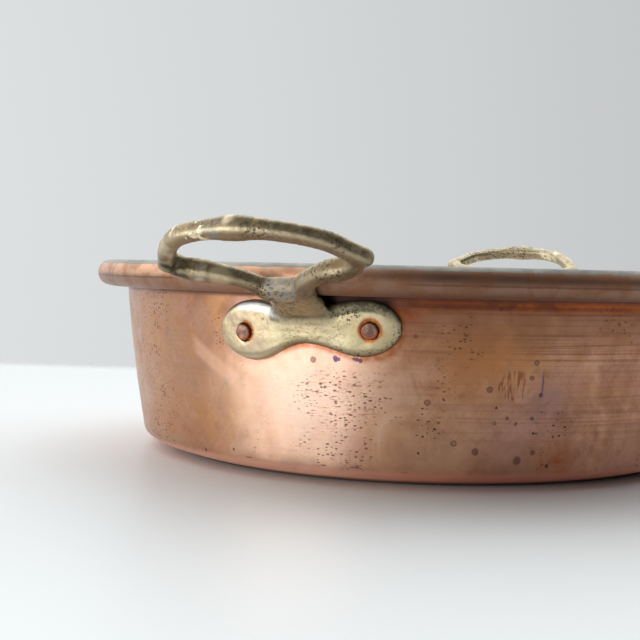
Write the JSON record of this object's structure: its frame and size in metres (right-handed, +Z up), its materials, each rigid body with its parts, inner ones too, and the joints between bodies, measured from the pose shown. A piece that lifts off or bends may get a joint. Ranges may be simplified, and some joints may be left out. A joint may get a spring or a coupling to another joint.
{
  "type": "two-handled pan",
  "caption": "Round shallow cooking pan with a flat base, upright wall, wire-rolled rim and looped lift handles riveted on plates at opposite sides.",
  "frame": {"origin": "centre of the flat base, on its underside", "axes": "+Z up through the open mouth, +Y towards the back handle, +X to the right as seen from the front handle"},
  "size_m": [0.3, 0.3964, 0.0988],
  "materials": {
    "copper": "worn satin copper outside with a warm patina, tinned dull grey inside",
    "cast_brass": "satin worn cast brass with dark pits",
    "iron": "dull brown iron with orange rust at the edges"
  },
  "bodies": {
    "root": {"pan_shell": "copper", "rim_wire": "iron", "front_handle": "cast_brass", "front_left_rivet": "iron", "front_right_rivet": "iron", "back_handle": "cast_brass", "back_left_rivet": "iron", "back_right_rivet": "iron"}
  },
  "joints": []
}
